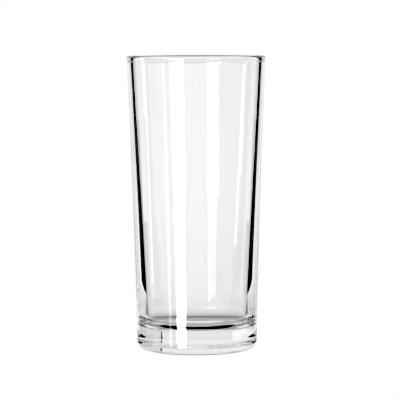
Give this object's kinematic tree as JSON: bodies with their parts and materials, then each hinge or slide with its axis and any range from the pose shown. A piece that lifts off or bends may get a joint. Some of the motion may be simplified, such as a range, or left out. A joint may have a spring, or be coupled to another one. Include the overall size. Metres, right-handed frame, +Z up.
{
  "type": "drinking glass",
  "caption": "Tall clear highball tumbler with a gently flared wall, a rounded rim, a tapered inside and a thick solid base, for holding a long drink.",
  "frame": {"origin": "centre of the flat foot that the glass stands on, in the plane of the table", "axes": "+Z up along the axis that the glass is turned about, from the table to the mouth; X and Y may lie anywhere, because the glass is round"},
  "size_m": [0.071, 0.071, 0.15],
  "materials": {
    "clear_glass": "clear colourless soda-lime glass, fire-polished, smooth all over"
  },
  "bodies": {
    "root": {"tumbler": "clear_glass"}
  },
  "joints": []
}
